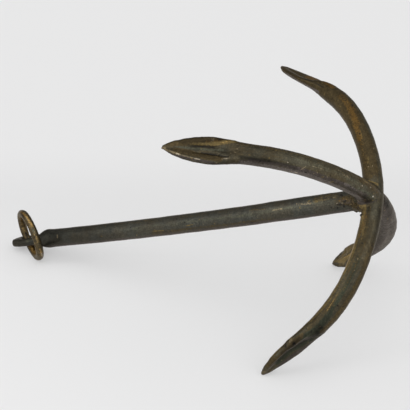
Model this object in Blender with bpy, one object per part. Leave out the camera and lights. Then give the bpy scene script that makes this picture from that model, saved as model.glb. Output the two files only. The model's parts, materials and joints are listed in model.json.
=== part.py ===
"""Four-armed grapnel anchor of forged round bar, lying on its ring and two palm tips.

Metres, +Z up, floor at z = 0. The shank runs along X, from the head with its ring at -X
to the crown at +X. Every piece is shaped in the anchor's own frame (crown centre at the
origin, shank along -X) and the whole anchor is then settled on its three lowest points.
"""
import math

import bmesh
import bpy
from mathutils import Matrix, Vector

# ---- driving dimensions, metres and degrees ---------------------------------------------
GAP = 0.0003                    # clearance between pieces that touch

SHANK_LENGTH = 0.5665           # crown centre to the end of the head
SHANK_RADIUS = 0.0128
SHANK_SAG = 0.0042              # the bar's bow at half length
SHANK_SAG_ROLL = -157.0         # direction of that bow around the shank
SHANK_BUTT = 0.0080             # start of the crown end, before it is coped to the arms
SHANK_STATIONS = 14             # sections along its plain part

EYE_ROLL = 10.0                 # twist of the flattened eye around the shank
EYE_DROP = 0.0007               # the eye's middle plane lies below the shank's axis
EYE_FROM_END = 0.0275
EYE_HOLE_RADIUS = 0.0082        # at the waist of the worn hole
EYE_FLARE = 0.0022              # how much wider it is at the flat cheeks
EYE_HALF_THICKNESS = 0.0057
EYE_WAIST = 0.4                 # half height of the waist, in half thicknesses
EYE_CUT = 1.8                   # half height of the cutter, in half thicknesses
CHEEK_STEEPNESS = 3.3           # how soon a flattened section leaves its half-round edge

# distance from the head's end, half width, half thickness, share of EYE_DROP
HEAD_SECTIONS = (
    (0.0665, SHANK_RADIUS, SHANK_RADIUS, 0.00),
    (0.0605, 0.0130, 0.0117, 0.12),
    (0.0540, 0.0135, 0.0090, 0.52),
    (0.0475, 0.0143, 0.0067, 0.86),
    (0.0405, 0.0152, EYE_HALF_THICKNESS, 1.00),
    (0.0280, 0.0160, EYE_HALF_THICKNESS, 1.00),
    (0.0180, 0.0157, EYE_HALF_THICKNESS, 1.00),
    (0.0110, 0.0146, EYE_HALF_THICKNESS, 1.00),
    (0.0060, 0.0128, 0.0055, 1.00),
    (0.0025, 0.0102, 0.0051, 1.00),
    (0.0006, 0.0074, 0.0043, 1.00),
    (0.0000, 0.0054, 0.0032, 1.00),
)

ARM_LENGTH = 0.2733             # along the bar, crown centre to palm tip
# heading of the bar at even stations: 0 points straight out, 90 along the shank
ARM_HEADINGS = (0.0, 15.1, 27.3, 45.6, 57.6, 53.5)
ARM_STEPS = 120                 # steps in which the heading is followed
BAR_RADIUS = 0.0121
ROOT_RADIUS = 0.0126
# share of the arm's length, half width, half thickness, depth of the hollow, squareness
ARM_SECTIONS = (
    (0.000, ROOT_RADIUS, ROOT_RADIUS, 0.0000, 2.0),
    (0.200, BAR_RADIUS, BAR_RADIUS, 0.0000, 2.0),
    (0.620, BAR_RADIUS, BAR_RADIUS, 0.0000, 2.0),
    (0.665, 0.0122, 0.0114, 0.0008, 2.0),
    (0.705, 0.0130, 0.0098, 0.0030, 2.2),
    (0.750, 0.0150, 0.0077, 0.0052, 2.6),
    (0.800, 0.0169, 0.0062, 0.0058, 3.0),
    (0.850, 0.0160, 0.0056, 0.0054, 3.0),
    (0.900, 0.0136, 0.0052, 0.0042, 2.8),
    (0.950, 0.0094, 0.0046, 0.0026, 2.4),
    (0.985, 0.0053, 0.0038, 0.0008, 2.1),
    (0.996, 0.0034, 0.0028, 0.0000, 2.0),
    (1.000, 0.0018, 0.0016, 0.0000, 2.0),
)
BAR_SHARES = 9                  # sections along the plain part of an arm
PALM_SHARES = 16                # sections along its palm
PALM_START = 0.66
TWIST_START = 0.60              # a palm's twist grows from here
TWIST_SPAN = 0.18
PALM_HOLLOW_POWER = 1.15        # 1 is a V-shaped gouge, 2 a round one
# each arm as forged: roll around the shank, share of ARM_LENGTH, extra bend,
# palm twist, share of the palm's width
NEAR_UPPER = (-47.5, 1.049, 2.65, 0.0, 1.00)
NEAR_LOWER = (-137.7, 0.962, -3.97, 0.0, 1.00)
FAR_LOWER = (133.6, 1.020, 2.60, -18.0, 0.90)
FAR_UPPER = (43.3, 0.959, -0.20, -26.0, 1.00)

RING_RADIUS = 0.0327            # to the middle of the wire
RING_WIRE_RADIUS = 0.0051
RING_LEAN = 0.0015              # the ring leans on the near wall of the eye
RING_SWING = -40.3              # swing in which it props up the head, 0 is along the shank
RING_SEGMENTS = 48

# crown weld, around the shank's axis: distance from the crown centre, radius
WELD_PROFILE = (
    (-0.0090, 0.0125),
    (-0.0050, 0.0172),
    (0.0000, 0.0196),
    (0.0060, 0.0194),
    (0.0120, 0.0182),
    (0.0165, 0.0166),
    (0.0205, 0.0150),
    (0.0235, 0.0136),
)
WELD_RIPPLE = 0.0006            # height of its lumps
WELD_COARSE = (3, 1.3, 1.0)     # lumps around, turn from row to row, share of the height
WELD_FINE = (7, -2.1, 0.7)

PITCH_GUESS = 18.4              # slope of the shank from which the anchor is settled
SETTLING_ROUNDS = 12

SIDES = 20                      # points round a bar
WIRE_SIDES = 16

# colour and roughness
IRON = ((0.055, 0.052, 0.040, 1.0), 0.42)
RUBBED = ((0.150, 0.105, 0.045, 1.0), 0.38)
CRUST = ((0.100, 0.075, 0.045, 1.0), 0.60)
METALLIC = 0.6

ALONG = Vector((-1.0, 0.0, 0.0))                # from the crown to the head
RING_STRAND = Vector((-0.3465, 0.283, 0.894))   # the ring's wire where it passes the eye


# ---- scene and material helpers ----------------------------------------------------------
def clear_scene():
    for obj in list(bpy.data.objects):
        bpy.data.objects.remove(obj, do_unlink=True)


def iron_material(name, look):
    material = bpy.data.materials.new(name)
    material.use_nodes = True
    shader = material.node_tree.nodes["Principled BSDF"]
    shader.inputs["Base Color"].default_value = look[0]
    shader.inputs["Roughness"].default_value = look[1]
    shader.inputs["Metallic"].default_value = METALLIC
    return material


def loft(name, loops, material, closed=False):
    """Skin a row of equal loops; cap the ends, or join them when closed."""
    bm = bmesh.new()
    rows = [[bm.verts.new(point) for point in loop] for loop in loops]
    pairs = list(zip(rows, rows[1:]))
    if closed:
        pairs.append((rows[-1], rows[0]))
    for row, following in pairs:
        for i in range(len(row)):
            j = (i + 1) % len(row)
            bm.faces.new((row[i], row[j], following[j], following[i]))
    if not closed:
        bm.faces.new(rows[0])
        bm.faces.new(rows[-1])
    bmesh.ops.recalc_face_normals(bm, faces=bm.faces)
    mesh = bpy.data.meshes.new(name)
    bm.to_mesh(mesh)
    bm.free()
    mesh.shade_smooth()
    mesh.materials.append(material)
    obj = bpy.data.objects.new(name, mesh)
    bpy.context.scene.collection.objects.link(obj)
    return obj


def cut(target, cutters):
    for cutter in cutters:
        cutter.hide_render = True
        cutter.display_type = "WIRE"
        modifier = target.modifiers.new("cut_" + cutter.name, "BOOLEAN")
        modifier.operation = "DIFFERENCE"
        modifier.object = cutter


# ---- sections ------------------------------------------------------------------------------
def eased_row(table, at):
    """Row of a table at a position, on a smooth curve through its rows."""
    i = 0
    while i < len(table) - 2 and table[i + 1][0] <= at:
        i += 1
    before, here = table[max(i - 1, 0)], table[i]
    there, after = table[i + 1], table[min(i + 2, len(table) - 1)]
    span = there[0] - here[0]
    u = (at - here[0]) / span
    row = []
    for k in range(1, len(here)):
        leaving = (there[k] - before[k]) / (there[0] - before[0]) * span
        arriving = (after[k] - here[k]) / (after[0] - here[0]) * span
        row.append((2 * u**3 - 3 * u**2 + 1) * here[k] + (u**3 - 2 * u**2 + u) * leaving
                   + (3 * u**2 - 2 * u**3) * there[k] + (u**3 - u**2) * arriving)
    return row


def bar_section(centre, out, side, half_width, half_thickness, hollow=0.0, square=2.0):
    """An oval loop, squarer and hollowed on the side facing out."""
    loop = []
    for k in range(SIDES):
        angle = 2 * math.pi * k / SIDES
        c, s = math.cos(angle), math.sin(angle)
        power = 2 / square if s > 0 else 1.0
        x = math.copysign(abs(c) ** power, c)
        y = math.copysign(abs(s) ** power, s) * half_thickness
        if s > 0:
            y -= hollow * (1 - abs(x)) ** PALM_HOLLOW_POWER
        loop.append(centre + side * (x * half_width) + out * y)
    return loop


def flat_section(centre, out, side, half_width, half_thickness):
    """A bar hammered flat: two straight cheeks joined by half-round edges."""
    straight = half_width - half_thickness
    loop = []
    for k in range(SIDES):
        angle = 2 * math.pi * k / SIDES
        c, s = math.cos(angle), math.sin(angle)
        shift = straight * math.copysign(min(abs(c) * CHEEK_STEEPNESS, 1.0), c)
        loop.append(centre + side * (shift + half_thickness * c) + out * (half_thickness * s))
    return loop


# ---- shank ---------------------------------------------------------------------------------
def around_shank(roll):
    """Unit vector square to the shank: 0 degrees is up, positive turns towards +Y."""
    angle = math.radians(roll)
    return Vector((0.0, math.sin(angle), math.cos(angle)))


def shank_axis(from_crown):
    share = from_crown / SHANK_LENGTH
    sag = 4 * SHANK_SAG * share * (1 - share)
    return ALONG * from_crown + around_shank(SHANK_SAG_ROLL) * sag


def eye_axes():
    return around_shank(EYE_ROLL), around_shank(EYE_ROLL + 90)


def shank_loops(grow=0.0):
    out, side = eye_axes()
    plain = SHANK_LENGTH - HEAD_SECTIONS[0][0] - SHANK_BUTT
    loops = []
    for k in range(SHANK_STATIONS):
        centre = shank_axis(SHANK_BUTT + plain * k / SHANK_STATIONS)
        loops.append(flat_section(centre, out, side, SHANK_RADIUS + grow, SHANK_RADIUS + grow))
    for from_end, half_width, half_thickness, drop in HEAD_SECTIONS:
        centre = shank_axis(SHANK_LENGTH - from_end) - around_shank(0) * (EYE_DROP * drop)
        loops.append(flat_section(centre, out, side, half_width + grow, half_thickness + grow))
    return loops


def eye_centre():
    return shank_axis(SHANK_LENGTH - EYE_FROM_END) - around_shank(0) * EYE_DROP


def eye_cutter(material):
    """The worn hole: narrow at its waist, flared towards both cheeks."""
    out, side = eye_axes()
    loops = []
    for height in (-EYE_CUT, -1.0, -EYE_WAIST, EYE_WAIST, 1.0, EYE_CUT):
        flare = max(abs(height) - EYE_WAIST, 0.0) / (1.0 - EYE_WAIST)
        radius = EYE_HOLE_RADIUS + EYE_FLARE * flare
        centre = eye_centre() + out * (height * EYE_HALF_THICKNESS)
        loops.append([centre + (side * math.cos(a) + ALONG * math.sin(a)) * radius
                      for a in (2 * math.pi * k / SIDES for k in range(SIDES))])
    return loft("eye_hole", loops, material)


# ---- arms and palms --------------------------------------------------------------------------
def heading(share, extra_bend):
    stations = tuple((k / (len(ARM_HEADINGS) - 1), angle) for k, angle in enumerate(ARM_HEADINGS))
    return math.radians(eased_row(stations, min(share, 1.0))[0] + extra_bend * share)


def arm_loops(arm, grow=0.0):
    """Sections of one arm from the crown centre to its tip."""
    roll, length_share, extra_bend, twist, palm_width = arm
    radial = around_shank(roll)
    side = ALONG.cross(radial)
    shares = [PALM_START * k / BAR_SHARES for k in range(BAR_SHARES)]
    shares += [PALM_START + (1 - PALM_START) * k / PALM_SHARES for k in range(PALM_SHARES + 1)]
    step = ARM_LENGTH * length_share / ARM_STEPS
    loops, centre, walked = [], Vector(), 0
    for share in shares:
        while (walked + 0.5) / ARM_STEPS < share:
            angle = heading((walked + 0.5) / ARM_STEPS, extra_bend)
            centre = centre + (radial * math.cos(angle) + ALONG * math.sin(angle)) * step
            walked += 1
        angle = heading(share, extra_bend)
        out = radial * math.sin(angle) - ALONG * math.cos(angle)
        palm = min(max((share - TWIST_START) / TWIST_SPAN, 0.0), 1.0)
        turned = math.radians(twist) * palm
        out, across = (out * math.cos(turned) + side * math.sin(turned),
                       side * math.cos(turned) - out * math.sin(turned))
        half_width, half_thickness, hollow, square = eased_row(ARM_SECTIONS, share)
        half_width *= 1 + (palm_width - 1) * palm
        loops.append(bar_section(centre, out, across, half_width + grow, half_thickness + grow,
                                 hollow, square))
    return loops


def bow_loops(first, second, grow=0.0):
    """Two opposite arms as one bar; the loops meet at the crown centre."""
    head = arm_loops(first, grow)
    tail = arm_loops(second, grow)
    half = SIDES // 2
    mirrored = [[loop[(half - k) % SIDES] for k in range(SIDES)] for loop in tail[1:]]
    return list(reversed(head)) + mirrored


# ---- ring and weld -----------------------------------------------------------------------------
def ring_seat():
    return eye_centre() - eye_axes()[1] * RING_LEAN


def ring_loops(swing):
    """The ring swung around the strand that lies in the eye."""
    strand = RING_STRAND.normalized()
    down_shank = (strand * ALONG.dot(strand) - ALONG).normalized()
    towards = Matrix.Rotation(math.radians(swing), 3, strand) @ down_shank
    normal = towards.cross(strand)
    centre = ring_seat() + towards * RING_RADIUS
    loops = []
    for k in range(RING_SEGMENTS):
        angle = 2 * math.pi * k / RING_SEGMENTS
        spoke = strand * math.sin(angle) - towards * math.cos(angle)
        middle = centre + spoke * RING_RADIUS
        loops.append([middle + (spoke * math.cos(a) + normal * math.sin(a)) * RING_WIRE_RADIUS
                      for a in (2 * math.pi * i / WIRE_SIDES for i in range(WIRE_SIDES))])
    return loops


def weld_loops():
    loops = []
    for row, (from_crown, radius) in enumerate(WELD_PROFILE):
        loop = []
        for k in range(2 * SIDES):
            roll = 360 * k / (2 * SIDES)
            angle = math.radians(roll)
            lump = sum(share * math.sin(count * angle + turn * row)
                       for count, turn, share in (WELD_COARSE, WELD_FINE))
            loop.append(ALONG * from_crown + around_shank(roll) * (radius + WELD_RIPPLE * lump))
        loops.append(loop)
    return loops


# ---- settling on the floor ---------------------------------------------------------------------
def lowest(points, placing):
    return min((placing @ point for point in points), key=lambda point: point.z)


def settle(groups):
    """Matrix that rests three groups of points on the floor, keeping the shank along X."""
    placing = Matrix.Rotation(math.radians(-PITCH_GUESS), 4, "Y")
    for _ in range(SETTLING_ROUNDS):
        a, b, c = (lowest(group, placing) for group in groups)
        up = (b - a).cross(c - a).normalized()
        if up.z < 0:
            up.negate()
        placing = up.rotation_difference(Vector((0.0, 0.0, 1.0))).to_matrix().to_4x4() @ placing
    crown_to_head = placing.to_3x3() @ ALONG
    turn = math.atan2(crown_to_head.y, -crown_to_head.x)
    placing = Matrix.Rotation(turn, 4, "Z") @ placing
    height = lowest([point for group in groups for point in group], placing).z
    return Matrix.Translation((0.0, 0.0, -height)) @ placing


def middle_of(objects):
    """Middle of the footprint of some objects, on the floor."""
    points = [vertex.co for obj in objects for vertex in obj.data.vertices]
    x = (min(p.x for p in points) + max(p.x for p in points)) / 2
    y = (min(p.y for p in points) + max(p.y for p in points)) / 2
    return Vector((x, y, 0.0))


def build():
    clear_scene()
    iron = iron_material("dark_iron", IRON)
    rubbed = iron_material("rubbed_iron", RUBBED)
    crust = iron_material("weld_crust", CRUST)

    shank = loft("shank", shank_loops(), iron)
    bow = loft("long_bow", bow_loops(NEAR_LOWER, FAR_UPPER), iron)
    near_half = loft("near_half_arm", arm_loops(NEAR_UPPER), iron)
    far_half = loft("far_half_arm", arm_loops(FAR_LOWER), iron)
    weld = loft("crown_weld", weld_loops(), crust)

    bow_room = loft("bow_room", bow_loops(NEAR_LOWER, FAR_UPPER, GAP), iron)
    near_room = loft("near_room", arm_loops(NEAR_UPPER, GAP), iron)
    far_room = loft("far_room", arm_loops(FAR_LOWER, GAP), iron)
    shank_room = loft("shank_room", shank_loops(GAP), iron)
    eye_hole = eye_cutter(iron)

    cut(near_half, [bow_room])
    cut(far_half, [bow_room])
    cut(shank, [bow_room, near_room, far_room, eye_hole])
    cut(weld, [bow_room, near_room, far_room, shank_room])

    ring = loft("ring", ring_loops(RING_SWING), rubbed, closed=True)
    placing = settle([
        [vertex.co.copy() for vertex in ring.data.vertices],
        [vertex.co.copy() for vertex in bow.data.vertices if vertex.co.z < 0],
        [vertex.co.copy() for vertex in far_half.data.vertices],
    ])
    anchor = [shank, bow, near_half, far_half, weld]
    cutters = [bow_room, near_room, far_room, shank_room, eye_hole]
    for obj in anchor + cutters + [ring]:
        obj.data.transform(placing)

    centring = middle_of(anchor + [ring])
    for obj in anchor + cutters + [ring]:
        obj.data.transform(Matrix.Translation(-centring))
    seat = placing @ ring_seat() - centring
    ring.data.transform(Matrix.Translation(-seat))
    ring.location = seat


build()
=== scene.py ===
# Four-armed grapnel anchor of dark, rubbed iron, lying on a pale studio floor.
# Metres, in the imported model's frame: the shank runs from its ring at -X to the crown at +X.
# Marks on a bar are placed by their distance from the crown, in millimetres, and their turn
# round the bar, in degrees: 0 faces upwards on the shank and the shank's side on an arm. On the
# ring it is the distance round it, and 0 degrees faces outwards.
import json
import math

import bpy
import numpy as np
from mathutils import Matrix, Vector, noise
from mathutils.kdtree import KDTree


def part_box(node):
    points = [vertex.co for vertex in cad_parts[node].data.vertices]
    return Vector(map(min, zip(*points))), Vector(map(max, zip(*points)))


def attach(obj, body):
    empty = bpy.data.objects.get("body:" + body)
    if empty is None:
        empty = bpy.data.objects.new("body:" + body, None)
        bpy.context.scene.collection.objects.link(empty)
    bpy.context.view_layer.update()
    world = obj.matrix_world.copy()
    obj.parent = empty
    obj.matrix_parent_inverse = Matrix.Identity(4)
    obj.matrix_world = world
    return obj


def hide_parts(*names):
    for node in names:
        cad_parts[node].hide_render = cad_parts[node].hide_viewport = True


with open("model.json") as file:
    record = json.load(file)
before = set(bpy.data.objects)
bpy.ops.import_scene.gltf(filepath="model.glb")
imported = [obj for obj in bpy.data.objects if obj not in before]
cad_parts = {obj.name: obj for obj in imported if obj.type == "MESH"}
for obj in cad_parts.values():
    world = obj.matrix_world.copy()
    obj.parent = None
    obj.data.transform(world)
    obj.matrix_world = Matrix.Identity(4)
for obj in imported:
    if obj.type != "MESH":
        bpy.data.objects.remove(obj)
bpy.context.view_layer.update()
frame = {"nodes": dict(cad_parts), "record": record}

# ---- driving values ------------------------------------------------------------------------
MILLI = 0.001
FULL_TURN = 360                 # degrees
UP = (0.0, 0.0, 1.0)
SEED = 11

BAR_RADIUS = 0.0122
RING_RADIUS = 0.03265           # middle of the ring's wire
WIRE_RADIUS = 0.0051
CROWN_INSET = 0.007             # of the bars' meeting point from the filler's middle
PIVOT_FROM_CROWN = 0.140        # the arms curl round a point this far up the shank
TANG_END = 0.5464               # the tang is cut off square here, from the crown

MERGE_DISTANCE = 0.00001
BAR_GRAIN = 0.0009              # edge of the mesh on the shank and arms
RING_GRAIN = 0.0005
WELD_GRAIN = 0.0008
SMOOTHING_PULL = 0.5            # of each pass
FACET_SMOOTHING = 10            # passes
RING_SMOOTHING = 14
WELD_SMOOTHING = 30
BAR_SWELL = 0.00012             # gives back what the smoothing takes
RING_SWELL = 0.00035
WELD_REACH = 0.036              # of the filler from the crown's centre
STATIONS = 70                   # points of a bar's middle line
LINE_SMOOTHING = 3              # passes
OPEN_ENDED = 1000.0             # stands for the length of a loop on a bar that has ends

HAMMER_SIZE, HAMMER_DEPTH = 0.022, 0.0005
RING_HAMMER_SIZE, RING_HAMMER_DEPTH = 0.010, 0.0007
PIT_SIZE, PIT_DEPTH = 0.0028, 0.00028
CRUST_SIZE, CRUST_HEIGHT = 0.0030, 0.0024
CRUST_FROM, CRUST_TO = -0.030, -0.010    # the crust's stretch of the shank, from the crown
CRUST_EDGE = 0.006
CRUST_RADIUS = 0.0205
CRUST_FAINTEST = 0.01                    # cover below this raises nothing

STROKE_CORE, STROKE_END = 0.4, 1.4       # half widths at which a stroke starts and ends fading
PALM_RIM = 0.0012               # the palm's hollow side fades out within this of the middle line
FAR_AWAY = 50.0                 # mm, for points on the side that a palm's stroke leaves bare
BOUNCE_FULL, BOUNCE_NONE = -0.75, -0.10    # upward part of the normal where undersides take umber as painted floor reflection
# strength of the painted floor reflection on undersides
UNDERSIDE_BOUNCE = 0.8
SOURCE_REACH = 1.3 * WELD_REACH          # of the bars' points that lend the filler their paints
RING_STREAK_SPREAD = RING_RADIUS / 8

FLOOR_SIZE = 30.0
FLOOR_PAPER = (0.41, 0.41, 0.412, 1.0)
FLOOR_ROUGHNESS = 0.9
TABLE_FRONT = (-0.32, -0.95, 0.0)         # towards the brighter end of the light table
TABLE_GLOW = (0.05, 0.75, 0.375, 0.46)    # from and to, in metres, and the glow at each
BAND_FRONT = (0.434, -0.901, 0.0)         # across the faint darker band behind the anchor
BAND_MIDDLE, BAND_WIDTH = -0.28, 0.22     # measured that way, in metres
BAND_SHADE = 0.034                        # glow lost in the middle of the band

SOFTBOX_PLACE, SOFTBOX_AIM = (-4.10, -5.20, 4.20), (0.05, 0.0, 0.05)
SOFTBOX_SIZE, SOFTBOX_POWER = 3.0, 58.0
TENT_FRONT = (0.35, -0.72, 0.62)          # towards the bright side of the light tent
TENT_GLOW = (0.0, 1.0, 0.34, 1.70)        # sideways and straight at it, and the glow at each
WHITE = (1.0, 1.0, 1.0, 1.0)

EYE = Vector((0.6229, -1.1777, 0.7728))
LOOK = Vector((-0.4012, 0.8055, -0.4361))
ROLL = math.radians(-0.19)
LENS = 99.07
SENSOR = 36.0
NEAREST_SEEN, FARTHEST_SEEN = 0.01, 60.0

# ---- finishes ------------------------------------------------------------------------------
OLIVE = (0.052, 0.052, 0.043, 1.0)
BROWN = (0.058, 0.047, 0.027, 1.0)
SHANK_BROWN = (0.055, 0.050, 0.037, 1.0)
ARM_OLIVE = (0.057, 0.052, 0.035, 1.0)
MOSS = (0.066, 0.067, 0.053, 1.0)
RING_BROWN = (0.090, 0.064, 0.030, 1.0)
RIM_TINT = (0.86, 0.80, 0.72, 1.0)
PAINTS = {                      # laid over the bare iron in this order
    "moss": (0.068, 0.068, 0.047, 1.0),
    # dark olive: the iron's green patina, laid deep as painted shade in palm hollows, the back
    # arm's root groove and the front arm's middle
    "weed_and_shade": (0.037, 0.042, 0.027, 1.0),
    "loam": (0.060, 0.043, 0.019, 1.0),
    # pinkish umber: a stain in places, and painted floor reflection on the undersides
    "umber_and_floor_bounce": (0.056, 0.046, 0.041, 1.0),
    "dust": (0.100, 0.086, 0.077, 1.0),
    "ochre": (0.128, 0.092, 0.036, 1.0),
    "rust": (0.118, 0.066, 0.017, 1.0),
    "gold": (0.270, 0.172, 0.058, 1.0),
    "tan": (0.170, 0.134, 0.080, 1.0),
    "cream": (0.270, 0.232, 0.172, 1.0),
    # near black: small dark flecks and pits in the crust, and painted shade in hollows, creases and
    # the crown's gaps
    "soot_and_crease_shade": (0.017, 0.015, 0.013, 1.0),
    "chalk": (0.560, 0.510, 0.420, 1.0),
}

IRONS = {
    "waxed_shank_iron": dict(ground=OLIVE, clouded=SHANK_BROWN, veil=MOSS, flecks=0.30,
                             roughness=(0.34, 0.46), pitting=1.0, mottling=1.0),
    "browned_arm_iron": dict(ground=BROWN, clouded=ARM_OLIVE, veil=PAINTS["loam"], flecks=0.35,
                             roughness=(0.34, 0.46), pitting=1.0, mottling=1.15),
    "rubbed_ring_iron": dict(ground=RING_BROWN, clouded=BROWN, veil=PAINTS["ochre"], flecks=0.7,
                             roughness=(0.34, 0.46), pitting=1.2, mottling=1.8),
    "burnt_weld_iron": dict(ground=BROWN, clouded=ARM_OLIVE, veil=PAINTS["loam"], flecks=0.6,
                            roughness=(0.40, 0.54), pitting=1.4, mottling=1.5),
}
METALLIC, SPECULAR = 0.7, 0.3
CLOUDS = (38.0, 4.0, 0.6)                # scale, detail and roughness of each unevenness
MOTTLE = (170.0, 3.0, 0.6)
SPECKLE = (560.0, 3.0, 0.65)
GRIT = (1700.0, 2.0, 0.6)
STREAKS = (1.0, 4.0, 0.6)
STREAK_STRETCH = (30.0, 330.0, 330.0)
CLOUD_EDGE = (0.38, 0.62)                # from and to, and in longer rows the result at each
VEIL_EDGE = (0.50, 0.68, 0.0, 0.55)
FLECK_EDGE = (0.60, 0.72)
MOTTLE_SPAN = (0.30, 0.70)
SPECKLE_SPAN = (0.32, 0.66)
GRIT_SPAN = (0.32, 0.68, 0.85, 1.15)
MOTTLE_DARK, MOTTLE_LIGHT = 0.14, 0.16   # taken from or added to the colour
SPECKLE_DARK, SPECKLE_LIGHT = 0.18, 0.20
MOTTLE_BUMP = (0.30, 0.0012)             # strength and height
SPECKLE_BUMP = (0.45, 0.0005)
GRIT_BUMP = (0.35, 0.0002)
STREAK_RAGGED, SPECKLE_RAGGED = 0.9, 1.0  # how far each breaks up the edges of the paints
PAINT_EDGE = (0.28, 0.72, 0.0, 0.95)
PAINT_START = (0.02, 0.15)

# Each stroke of paint is a straight line on the skin: paint, the place of its start, the place of
# its end, half width in mm, strength. Rows that lighten or darken what lies there, rather than lay
# a paint, are mostly painted light and shade: painted highlights on lit sides, painted shade in
# hollows and creases and on sides turned from the light, with some uneven tone of the iron.
# On round bars a place is its distance along (mm) and its turn (degrees).
SHANK_STROKES = (
    ("tone", 560, -60, 420, -60, 60, -0.30),
    ("tone", 560, 0, 340, -4, 4.0, -0.24),
    ("tone", 392, -50, 340, -50, 6.0, 0.10),
    ("tone", 545, -60, 528, -60, 20, -0.15),
    ("tone", 330, -2, 30, -8, 3.0, -0.12),
    ("tone", 500, -50, 470, -50, 14, -0.16),
    ("tone", 130, -56, 30, -60, 7.0, 0.12),
    ("moss", 330, -66, 30, -62, 3.6, 0.42),
    ("ochre", 420, -8, 250, -14, 2.6, 0.36),
    ("ochre", 250, -4, 60, -4, 2.0, 0.30),
    ("loam", 330, -20, 90, -16, 5.0, 0.36),
    ("loam", 300, -120, 120, -125, 7.0, 0.52),
    ("ochre", 300, -92, 284, -96, 1.2, 0.55),
    ("ochre", 246, -84, 236, -80, 1.0, 0.50),
    ("ochre", 150, -40, 128, -46, 1.4, 0.45),
    ("tan", 80, -47, 64, -50, 1.8, 0.52),
    ("tan", 118, -60, 104, -58, 1.2, 0.42),
    ("tone", 120, -54, 50, -50, 3.4, 0.20),
    ("ochre", 56, -30, 30, -20, 6.0, 0.48),
    ("tan", 462, -70, 462, -54, 1.0, 0.85),
    ("tone", 462, -70, 462, -54, 1.3, 0.45),
    ("moss", 516, -66, 506, -58, 2.6, 0.75),
    ("tone", 516, -66, 506, -58, 3.0, 0.22),
    ("rust", 31, -5, 31, -3, 1.0, 0.85),
    ("loam", 26, -60, 14, -60, 9.0, 0.50),
    ("tone", 22, -62, 9, -78, 4.0, 0.22),
    ("umber_and_floor_bounce", 22, -64, 9, -80, 4.0, 0.45),
    ("soot_and_crease_shade", 25, -84, 24, -80, 1.2, 0.95),
    ("soot_and_crease_shade", 19, -70, 18, -72, 1.4, 0.95),
    ("soot_and_crease_shade", 21, -96, 20, -98, 1.2, 0.95),
    ("cream", 22, -76, 21.5, -76, 0.6, 0.95),
    ("gold", 16, -60, 15, -62, 0.7, 0.7),
    ("loam", 430, 60, 40, 70, 16, 0.50),
    ("rust", 210, 80, 160, 96, 5.0, 0.55),
    ("moss", 360, 130, 260, 140, 8.0, 0.55),
)
NEAR_STROKES = (
    ("moss", 130, 172, 30, 168, 3.4, 0.42),
    ("tone", 200, 160, 176, 160, 22, -0.28),
    ("tone", 120, 170, 36, 165, 11, 0.30),
    ("tone", 130, 178, 50, 172, 3.0, 0.12),
    ("ochre", 190, -142, 40, -138, 4.5, 0.34),
    ("loam", 190, -120, 30, -120, 6.0, 0.55),
    ("tone", 190, 136, 130, 132, 2.8, -0.40),
    ("tone", 130, 132, 70, 128, 2.6, -0.12),
    ("soot_and_crease_shade", 186, 136, 140, 134, 1.8, 0.44),
    ("tone", 70, 118, 20, 112, 3.4, -0.10),
    ("dust", 62, 132, 28, 122, 2.4, 0.50),
    ("umber_and_floor_bounce", 190, 112, 40, 112, 4.0, 0.60),
    ("umber_and_floor_bounce", 180, 128, 24, 124, 3.2, 0.66),
    ("dust", 190, 98, 40, 92, 4.6, 0.75),
    ("tone", 196, 126, 140, 122, 2.4, 0.18),
    ("tone", 178, 157, 164, 155, 2.6, -0.14),
    ("dust", 38, 98, 24, 92, 1.8, 0.90),
    ("tone", 36, 96, 26, 92, 2.0, 0.24),
    ("moss", 40, 142, 8, 140, 3.0, 0.62),
    ("tone", 170, 94, 60, 92, 3.4, 0.14),
    ("tone", 150, 134, 120, 138, 2.4, 0.16),
    ("tan", 68, 178, 60, 174, 1.6, 0.50),
    ("tan", 76, -170, 72, -166, 1.2, 0.60),
    ("tan", 112, 160, 96, 165, 0.9, 0.45),
    ("tan", 118.4, 152, 122.8, 128, 0.45, 0.85),
    ("cream", 129.5, 99, 125.5, 95, 0.5, 0.95),
    ("cream", 140, 150, 139, 149, 0.7, 0.80),
    ("cream", 38, 165, 37, 165, 0.8, 0.95),
    ("chalk", 13.5, 143, 13.0, 143, 0.9, 1.0),
    ("cream", 23, -178, 22, -178, 0.8, 0.95),
    ("tan", 10, 150, 8, 140, 0.8, 0.60),
    ("ochre", 36, -150, 12, -160, 3.6, 0.52),
    ("gold", 30, -156, 14, -162, 2.0, 0.38),
    ("loam", 40, -160, 8, -166, 6.0, 0.70),
    ("loam", 190, 20, 40, 10, 12, 0.70),
    ("rust", 120, 30, 90, 20, 4.0, 0.60),
)
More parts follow.
